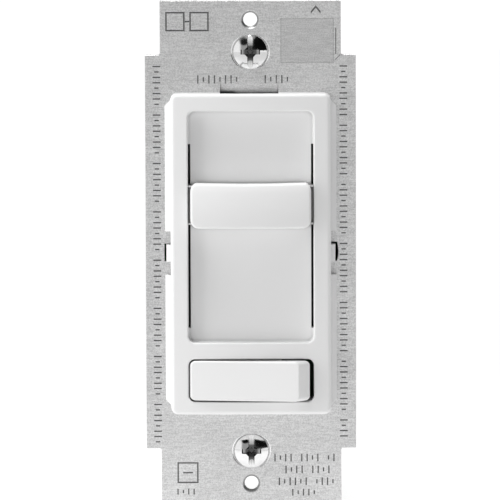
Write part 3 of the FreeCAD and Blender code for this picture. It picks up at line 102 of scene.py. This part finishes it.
LIGHT_AIM = (0, 0, 0)
KEY_POWER = 0.3
KEY_PLACE = (-0.22, -0.09, 0.03)
KEY_WIDTH = 0.14
KEY_HEIGHT = 0.3
TOP_POWER = 21.6
TOP_PLACE = (-0.08, -0.07, 0.6)
TOP_CONE = 30.0
TOP_SOFT = 0.15


def math_node(tree, operation, first, second=0.0):
    """A Math node on two values, each a number or another node's output."""
    node = tree.nodes.new("ShaderNodeMath")
    node.operation = operation
    for socket, value in zip(node.inputs, (first, second)):
        if isinstance(value, bpy.types.NodeSocket):
            tree.links.new(value, socket)
        else:
            socket.default_value = value
    return node.outputs[0]


def map_range(tree, value, low, high, to_low, to_high, smooth=False):
    """A value from low to high, spread over to_low to to_high and held at its ends."""
    node = tree.nodes.new("ShaderNodeMapRange")
    node.interpolation_type = "SMOOTHSTEP" if smooth else "LINEAR"
    tree.links.new(value, node.inputs["Value"])
    node.inputs["From Min"].default_value = low
    node.inputs["From Max"].default_value = high
    node.inputs["To Min"].default_value = to_low
    node.inputs["To Max"].default_value = to_high
    return node.outputs["Result"]


def front_direction(off_axis, around):
    """A direction given by degrees off the front axis and degrees around it from +X towards +Z."""
    off_axis = math.radians(off_axis)
    around = math.radians(around)
    right = math.sin(off_axis) * math.cos(around)
    up = math.sin(off_axis) * math.sin(around)
    return Vector((right, -math.cos(off_axis), up))


def make_world():
    """A white tent, a little brighter in front, with a white card, two black cards and a white horizon."""
    world = bpy.data.worlds.new("studio")
    bpy.context.scene.world = world
    world.use_nodes = True
    tree = world.node_tree
    background = tree.nodes["Background"]
    coords = tree.nodes.new("ShaderNodeTexCoord")
    parts = tree.nodes.new("ShaderNodeSeparateXYZ")
    tree.links.new(coords.outputs["Generated"], parts.inputs[0])

    def nearness(direction):
        toward = tree.nodes.new("ShaderNodeVectorMath")
        toward.operation = "DOT_PRODUCT"
        tree.links.new(coords.outputs["Generated"], toward.inputs[0])
        toward.inputs[1].default_value = direction
        return toward.outputs["Value"]

    def card(place, outside, inside):
        inner = math.cos(math.radians(place["radius"]))
        outer = math.cos(math.radians(place["radius"] + place["edge"]))
        middle = nearness(front_direction(place["off_axis"], place["around"]))
        return map_range(tree, middle, outer, inner, outside, inside, True)

    front = nearness(front_direction(**FRONT_PLACE))
    level = map_range(tree, front, *FRONT_FADE, TENT_WHITE, TENT_FRONT, True)
    level = math_node(tree, "MAXIMUM", level, card(WHITE_CARD, 0.0, WHITE_CARD_LEVEL))
    for place in (UPPER_RIGHT_BLACK_CARD, UPPER_LEFT_BLACK_CARD):
        level = math_node(tree, "MULTIPLY", level, card(place, 1.0, BLACK_CARD_LEVEL))
    height = math_node(tree, "ABSOLUTE", parts.outputs["Z"])
    horizon = map_range(tree, height, *HORIZON_FADE, HORIZON_WHITE, 0.0, True)
    level = math_node(tree, "MAXIMUM", level, horizon)
    tree.links.new(level, background.inputs["Strength"])
    background.inputs["Color"].default_value = (1, 1, 1, 1)


def add_light(data, place, power):
    """A light that the camera doesn't see, aimed at the middle of the strap."""
    data.energy = power
    light = bpy.data.objects.new(data.name, data)
    bpy.context.scene.collection.objects.link(light)
    light.visible_camera = False
    light.location = place
    light.rotation_mode = "QUATERNION"
    light.rotation_quaternion = (Vector(LIGHT_AIM) - Vector(place)).to_track_quat("-Z", "Y")
    return light


def make_key():
    """A tall soft panel close by on the left, which brightens the left side and isn't mirrored."""
    data = bpy.data.lights.new("key", "AREA")
    data.shape = "RECTANGLE"
    data.size = KEY_WIDTH
    data.size_y = KEY_HEIGHT
    light = add_light(data, KEY_PLACE, KEY_POWER)
    light.visible_glossy = False


def make_top():
    """A soft spot almost overhead, which picks out the edges that face up."""
    data = bpy.data.lights.new("top", "SPOT")
    data.shadow_soft_size = TOP_SOFT
    data.spot_size = math.radians(TOP_CONE)
    data.spot_blend = 1.0
    add_light(data, TOP_PLACE, TOP_POWER)


def make_floor():
    """A pale floor with a glow of its own, which is weaker in front of the object."""
    half = FLOOR_HALF
    ground = cad_low.z - FLOOR_GAP
    mesh = bpy.data.meshes.new("floor")
    corners = [(-half, -half, ground), (half, -half, ground), (half, half, ground), (-half, half, ground)]
    mesh.from_pydata(corners, [], [(0, 1, 2, 3)])
    floor = bpy.data.objects.new("floor", mesh)
    bpy.context.scene.collection.objects.link(floor)
    material, tree, shader = new_material("pale_floor", FLOOR_ROUGHNESS)
    shader.inputs["Base Color"].default_value = (FLOOR_GREY, FLOOR_GREY, FLOOR_GREY, 1)
    shader.inputs["Emission Color"].default_value = (1, 1, 1, 1)
    depth = split_place(tree).outputs["Y"]
    fade = (FLOOR_FADE_FRONT_Y, FLOOR_FADE_BACK_Y)
    glow = map_range(tree, depth, *fade, FLOOR_GLOW_FRONT, FLOOR_GLOW, True)
    tree.links.new(glow, shader.inputs["Emission Strength"])
    mesh.materials.append(material)


# ---------------------------------------------------------------- material tools
NOISE_LOW = 0.3  # most of a noise texture's values lie between these two
NOISE_HIGH = 0.7
SEED_SHIFT = (1.0, 1.7, 0.6)
CREVICE_SAMPLES = 8
CREVICE_SHUT = 0.45  # the share of open directions at which the painted crevice shade is darkest
CREVICE_FREE = 0.95  # and the share from which a point counts as open


def new_material(name, roughness, metallic=0.0):
    material = bpy.data.materials.new(name)
    material.use_nodes = True
    shader = material.node_tree.nodes["Principled BSDF"]
    shader.inputs["Roughness"].default_value = roughness
    shader.inputs["Metallic"].default_value = metallic
    return material, material.node_tree, shader


def split_place(tree):
    """The node whose outputs are a point's X, Y and Z in metres."""
    coords = tree.nodes.new("ShaderNodeTexCoord")
    parts = tree.nodes.new("ShaderNodeSeparateXYZ")
    tree.links.new(coords.outputs["Object"], parts.inputs[0])
    return parts


def noise(tree, size, stretch=(1, 1, 1), detail=3.0, seed=0.0):
    """Noise whose grain is about size metres across, stretched along each axis."""
    coords = tree.nodes.new("ShaderNodeTexCoord")
    mapping = tree.nodes.new("ShaderNodeMapping")
    tree.links.new(coords.outputs["Object"], mapping.inputs["Vector"])
    mapping.inputs["Scale"].default_value = [1 / (size * s) for s in stretch]
    mapping.inputs["Location"].default_value = [seed * s for s in SEED_SHIFT]
    texture = tree.nodes.new("ShaderNodeTexNoise")
    texture.inputs["Scale"].default_value = 1.0
    texture.inputs["Detail"].default_value = detail
    tree.links.new(mapping.outputs["Vector"], texture.inputs["Vector"])
    return texture.outputs["Fac"]


def spread_noise(tree, texture, lowest, highest):
    """Noise that wanders between two numbers."""
    return map_range(tree, texture, NOISE_LOW, NOISE_HIGH, lowest, highest)


def blend(tree, fac, dark, light, low=NOISE_LOW, high=NOISE_HIGH):
    """A colour that wanders between two colours."""
    mix = tree.nodes.new("ShaderNodeMix")
    mix.data_type = "RGBA"
    tree.links.new(map_range(tree, fac, low, high, 0.0, 1.0), mix.inputs["Factor"])
    mix.inputs["A"].default_value = (*dark, 1)
    mix.inputs["B"].default_value = (*light, 1)
    return mix.outputs["Result"]


def scaled(tree, colour, factor):
    """A colour times a number."""
    node = tree.nodes.new("ShaderNodeVectorMath")
    node.operation = "SCALE"
    tree.links.new(colour, node.inputs[0])
    tree.links.new(factor, node.inputs["Scale"])
    return node.outputs["Vector"]


def crevice_shade(tree, reach, depth, shut=CREVICE_SHUT, free=CREVICE_FREE, alone=True):
    """Painted shade: 1 in the open, falling to 1 - depth in gaps narrower than reach; alone leaves out
    other pieces.
    """
    node = tree.nodes.new("ShaderNodeAmbientOcclusion")
    node.samples = CREVICE_SAMPLES
    node.only_local = alone
    node.inputs["Distance"].default_value = reach
    return map_range(tree, node.outputs["AO"], shut, free, 1 - depth, 1.0)


def bump(tree, shader, height, depth):
    """A surface relief of about depth metres."""
    node = tree.nodes.new("ShaderNodeBump")
    node.inputs["Strength"].default_value = 1.0
    node.inputs["Distance"].default_value = depth
    tree.links.new(height, node.inputs["Height"])
    tree.links.new(node.outputs["Normal"], shader.inputs["Normal"])


def shade(colour, factor):
    return tuple(min(1.0, c * factor) for c in colour)


def grey(level):
    return (level, level, level)


make_world()
make_floor()
make_key()
make_top()
bpy.context.scene.view_settings.view_transform = "Standard"

# ---------------------------------------------------------------- plastics and plain metals
CLOUD_SIZE = 0.012
CLOUD_DETAIL = 2.0
CLOUD_SEED = 3.0
PATCH_SIZE = 0.006
PATCH_SEED = 5.0
PATCH_WEAR = 0.06
# painted shade in the metals' crevices: how far it reaches and how dark it gets
CREVICE_SHADE_REACH = 0.0006
CREVICE_SHADE_DEPTH = 0.4
WHITE_LEVEL = 0.87
WHITE_ROUGHNESS = 0.3
# painted shade darkening the white mouldings in gaps and corners
BEZEL_GAP_SHADE = {"reach": 0.0012, "depth": 0.6, "shut": 0.15, "free": 0.8}
# the rocker stands in a deeper well, so painted shade darkens its sides from further off
ROCKER_GAP_SHADE = {"reach": 0.0035, "depth": 0.75, "shut": 0.2, "free": 0.75}


def moulded(name, colour, roughness, grain=0.00022, depth=0.000004, spread=0.03, wear=0.05, gaps=None):
    """A moulded plastic: fine spark-eroded grain, a faint cloudiness and, if asked, painted shade in gaps.
    """
    material, tree, shader = new_material(name, roughness)
    fine = noise(tree, grain)
    cloud = noise(tree, CLOUD_SIZE, detail=CLOUD_DETAIL, seed=CLOUD_SEED)
    base = blend(tree, cloud, shade(colour, 1 - spread), shade(colour, 1 + spread))
    # painted shade in gaps, from the other pieces too
    if gaps:
        base = scaled(tree, base, crevice_shade(tree, **gaps, alone=False))
    tree.links.new(base, shader.inputs["Base Color"])
    rough = spread_noise(tree, cloud, roughness - wear, roughness + wear)
    tree.links.new(rough, shader.inputs["Roughness"])
    bump(tree, shader, fine, depth)
    return material


def white_plastic(name, gaps):
    return moulded(name, grey(WHITE_LEVEL), WHITE_ROUGHNESS, spread=0.003, wear=0.015, gaps=gaps)


def metal(name, colour, roughness, grain=0.0002, depth=0.000003, spread=0.06):
    """A metal with a drawn or rolled grain, patches of handling and painted shade in crevices."""
    material, tree, shader = new_material(name, roughness, 1.0)
    fine = noise(tree, grain)
    patch = noise(tree, PATCH_SIZE, seed=PATCH_SEED)
    base = blend(tree, fine, shade(colour, 1 - spread), shade(colour, 1 + spread))
    # painted shade in crevices
    painted_crevice_shade = crevice_shade(tree, CREVICE_SHADE_REACH, CREVICE_SHADE_DEPTH)
    tree.links.new(scaled(tree, base, painted_crevice_shade), shader.inputs["Base Color"])
    rough = spread_noise(tree, patch, roughness - PATCH_WEAR, roughness + PATCH_WEAR)
    tree.links.new(rough, shader.inputs["Roughness"])
    bump(tree, shader, fine, depth)
    return material


# ---------------------------------------------------------------- strap and box screws
BOX_SCREW_Z = 0.08334 / 2

STRAP_DARK = 0.58
STRAP_LIGHT = 0.84
STRAP_GRAIN_LOW = 0.38
STRAP_GRAIN_HIGH = 0.62
STREAK_SIZE = 0.00024
STREAK_STRETCH = (9, 9, 1)
STREAK_SHARE = 0.35
SPECK_SIZE = 0.00024
SPECK_SEED = 7.0
SPECK_SHARE = 0.65
STRAP_CLOUD_SIZE = 0.009
STRAP_CLOUD_STRETCH = (2, 2, 1)
STRAP_CLOUD_SEED = 11.0
STRAP_ROUGHNESS = 0.42
STRAP_SMOOTHEST = 0.36
STRAP_DULLEST = 0.5
STRAP_RELIEF = 0.000005
# painted shade in the strap's stamped grooves, slot edges and other hollows
GROOVE_SHADE_REACH = 0.0004
GROOVE_SHADE_DEPTH = 0.75

FACE_SKIN = 0.00003  # how far behind the front face the dish starts to count in full
MASK_EDGE = 0.0001
WALL_START = 0.00006
WALL_FULL = 0.00016
WALL_SHADE = 0.5
DISH_IN = 0.0040
DISH_OUT = 0.0043
# painted highlight: how much lighter the colour is inside a screw's dish
DISH_PAINTED_HIGHLIGHT = 0.5
DISH_POLISH = 0.2
ROLL_X = -0.00025
ROLL_HALF_W = 0.0062
ROLL_LOW = 0.033
ROLL_HIGH = 0.0362
ROLL_DEPTH = 0.0009
ROLL_SHADE = 0.6

HEAD_R = 0.0035
HEAD_RISE = 0.00115
HEAD_BALL_R = (HEAD_R * HEAD_R + HEAD_RISE * HEAD_RISE) / (2 * HEAD_RISE)
HEAD_DARK = 0.8
HEAD_LIGHT = 0.84
HEAD_ROUGHNESS = 0.1
HEAD_SMOOTHEST = 0.05
HEAD_DULLEST = 0.14
HEAD_GRAIN = 0.0008
HEAD_RELIEF = 0.000002
# painted shade behind the dome: in the drive recess, and on the shank too
RECESS_SHADE = 0.9
RECESS_NEAR = 0.0002  # how far behind the dome the darkening starts
RECESS_FAR = 0.0012  # and where it is full, from there on back


def screw_radius(tree, parts):
    """How far a point is from the axis of the nearer box screw."""
    rise = math_node(tree, "SUBTRACT", math_node(tree, "ABSOLUTE", parts.outputs["Z"]), BOX_SCREW_Z)
    across = math_node(tree, "MULTIPLY", parts.outputs["X"], parts.outputs["X"])
    up = math_node(tree, "MULTIPLY", rise, rise)
    return math_node(tree, "SQRT", math_node(tree, "ADD", across, up))


def dish_mask(tree, parts):
    """1 inside the dish pressed round a box screw, and 0 on the flat face."""
    front = strap_low.y
    inside = map_range(tree, screw_radius(tree, parts), DISH_IN, DISH_OUT, 1.0, 0.0)
    sunk = map_range(tree, parts.outputs["Y"], front, front + FACE_SKIN, 0.0, 1.0)
    return math_node(tree, "MULTIPLY", inside, sunk)


def roll_mask(tree, parts):
    """1 on the rolled edge of the slot above the bezel, and 0 elsewhere."""
    off_middle = math_node(tree, "ABSOLUTE", math_node(tree, "SUBTRACT", parts.outputs["X"], ROLL_X))
    beside = map_range(tree, off_middle, ROLL_HALF_W - MASK_EDGE, ROLL_HALF_W, 1.0, 0.0)
    above = map_range(tree, parts.outputs["Z"], ROLL_LOW, ROLL_LOW + MASK_EDGE, 0.0, 1.0)
    below = map_range(tree, parts.outputs["Z"], ROLL_HIGH - MASK_EDGE, ROLL_HIGH, 1.0, 0.0)
    return math_node(tree, "MULTIPLY", beside, math_node(tree, "MULTIPLY", above, below))


def strap_shadow(tree, parts, dish, roll):
    """How much darker a point is for its depth: evenly on the roll, at once on any wall but the dish's."""
    front = strap_low.y
    free = math_node(tree, "SUBTRACT", 1.0, math_node(tree, "MAXIMUM", dish, roll))
    wall = map_range(tree, parts.outputs["Y"], front + WALL_START, front + WALL_FULL, 0.0, WALL_SHADE)
    sunk = map_range(tree, parts.outputs["Y"], front, front + ROLL_DEPTH, 0.0, ROLL_SHADE)
    on_wall = math_node(tree, "MULTIPLY", wall, free)
    on_roll = math_node(tree, "MULTIPLY", sunk, roll)
    return math_node(tree, "ADD", on_wall, on_roll)


def strap_metal():
    """Rolled aluminium: fine specks, short rolling streaks and duller clouds, with painted shade in the
    stamped grooves and other hollows, painted shade down walls and the roll, and a painted highlight in
    the screws' dishes.
    """
    material, tree, shader = new_material("rolled_aluminium", STRAP_ROUGHNESS, 1.0)
    streak = noise(tree, STREAK_SIZE, STREAK_STRETCH)
    speck = noise(tree, SPECK_SIZE, seed=SPECK_SEED)
    cloud = noise(tree, STRAP_CLOUD_SIZE, STRAP_CLOUD_STRETCH, seed=STRAP_CLOUD_SEED)
    streak_part = math_node(tree, "MULTIPLY", streak, STREAK_SHARE)
    speck_part = math_node(tree, "MULTIPLY", speck, SPECK_SHARE)
    grain = math_node(tree, "ADD", streak_part, speck_part)
    parts = split_place(tree)
    dish = dish_mask(tree, parts)
    shadow = strap_shadow(tree, parts, dish, roll_mask(tree, parts))
    base = blend(tree, grain, grey(STRAP_DARK), grey(STRAP_LIGHT), STRAP_GRAIN_LOW, STRAP_GRAIN_HIGH)
    # painted shade in the stamped grooves and other hollows
    base = scaled(tree, base, crevice_shade(tree, GROOVE_SHADE_REACH, GROOVE_SHADE_DEPTH))
    base = scaled(tree, base, math_node(tree, "SUBTRACT", 1.0, shadow))
    # painted highlight in the screws' dishes
    painted_dish_highlight = math_node(tree, "ADD", 1.0, math_node(tree, "MULTIPLY", dish, DISH_PAINTED_HIGHLIGHT))
    tree.links.new(scaled(tree, base, painted_dish_highlight), shader.inputs["Base Color"])
    rough = spread_noise(tree, cloud, STRAP_SMOOTHEST, STRAP_DULLEST)
    rough = math_node(tree, "SUBTRACT", rough, math_node(tree, "MULTIPLY", dish, DISH_POLISH))
    tree.links.new(rough, shader.inputs["Roughness"])
    bump(tree, shader, grain, STRAP_RELIEF)
    return material


def bright_plate():
    """Zinc plate on the box screws: mirror bright on the dome, with painted shade wherever it lies well
    behind it.

    That is meant for the recess, but it takes in the shank too, which looks nearly black from behind.
    """
    material, tree, shader = new_material("bright_plate", HEAD_ROUGHNESS, 1.0)
    parts = split_place(tree)
    radius = screw_radius(tree, parts)
    squared = math_node(tree, "MINIMUM", math_node(tree, "MULTIPLY", radius, radius), HEAD_R * HEAD_R)
    rise = math_node(tree, "SQRT", math_node(tree, "SUBTRACT", HEAD_BALL_R * HEAD_BALL_R, squared))
    drop = math_node(tree, "SUBTRACT", HEAD_BALL_R, rise)
    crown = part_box("box_screws")[0].y
    dome = math_node(tree, "ADD", drop, crown)
    sunk = math_node(tree, "SUBTRACT", parts.outputs["Y"], dome)
    shadow = map_range(tree, sunk, RECESS_NEAR, RECESS_FAR, 0.0, RECESS_SHADE)
    fine = noise(tree, HEAD_GRAIN)
    patch = noise(tree, PATCH_SIZE, seed=PATCH_SEED)
    base = blend(tree, fine, grey(HEAD_DARK), grey(HEAD_LIGHT))
    base = scaled(tree, base, math_node(tree, "SUBTRACT", 1.0, shadow))
    tree.links.new(base, shader.inputs["Base Color"])
    rough = spread_noise(tree, patch, HEAD_SMOOTHEST, HEAD_DULLEST)
    tree.links.new(rough, shader.inputs["Roughness"])
    bump(tree, shader, fine, HEAD_RELIEF)
    return material


# ---------------------------------------------------------------- finishes, one for each slot
FINISHES = {
    "strap_aluminium": strap_metal(),
    "white_moulding": white_plastic("white_moulding_finish", BEZEL_GAP_SHADE),
    "black_housing": moulded("housing_finish", (0.03, 0.03, 0.033), roughness=0.55,
                             grain=0.0004, depth=0.00002, spread=0.15),
    "black_moulding": moulded("black_moulding_finish", grey(0.02), roughness=0.5,
                              grain=0.0003, depth=0.00001, spread=0.15),
    "acetal": moulded("acetal_finish", (0.72, 0.71, 0.67), roughness=0.4, grain=0.0005),
    "plated_steel": bright_plate(),
    "steel": metal("ground_steel", grey(0.58), roughness=0.35),
    "tinned_steel": metal("tinned_sheet", (0.62, 0.62, 0.6), roughness=0.3),
    "brass": metal("plain_brass", (0.78, 0.6, 0.28), roughness=0.3),
    "bronze": metal("spring_bronze", (0.7, 0.42, 0.2), roughness=0.28),
    "fibre": moulded("vulcanised_fibre", (0.25, 0.05, 0.04), roughness=0.7,
                     grain=0.0006, depth=0.00002, spread=0.2),
    "insulating_film": moulded("film_finish", (0.05, 0.05, 0.055), roughness=0.45),
    "thermal_pad": moulded("pad_finish", (0.45, 0.47, 0.5), roughness=0.8),
    "board": moulded("solder_mask", (0.05, 0.2, 0.08), roughness=0.35),
    "phenolic": moulded("laminate", (0.33, 0.17, 0.07), roughness=0.5),
    "carbon_track": moulded("carbon_print", grey(0.02), roughness=0.6),
    "epoxy_black": moulded("epoxy_finish", grey(0.03), roughness=0.55),
    "core_coating": moulded("powder_coat", (0.72, 0.66, 0.2), roughness=0.5),
    "enamelled_copper": metal("enamelled_wire", (0.62, 0.25, 0.1), roughness=0.25),
    "film_case": moulded("film_case_finish", (0.72, 0.5, 0.06), roughness=0.25),
    "dipped_case": moulded("dipped_finish", (0.4, 0.09, 0.05), roughness=0.25),
    "resistor_coat": moulded("resistor_finish", (0.7, 0.6, 0.42), roughness=0.35),
    "diac_glass": moulded("diac_finish", (0.08, 0.14, 0.35), roughness=0.15),
    "solder": metal("solder_finish", grey(0.68), roughness=0.2),
}


def put_on(node, material):
    for slot in frame["nodes"][node].material_slots:
        slot.material = material


for part in frame["record"]["subparts"]:
    put_on(part["node"], FINISHES[part["material_slot"]])
# the rocker gets the white plastic with painted shade reaching further
put_on("rocker_button", white_plastic("rocker_painted_shade_finish", ROCKER_GAP_SHADE))
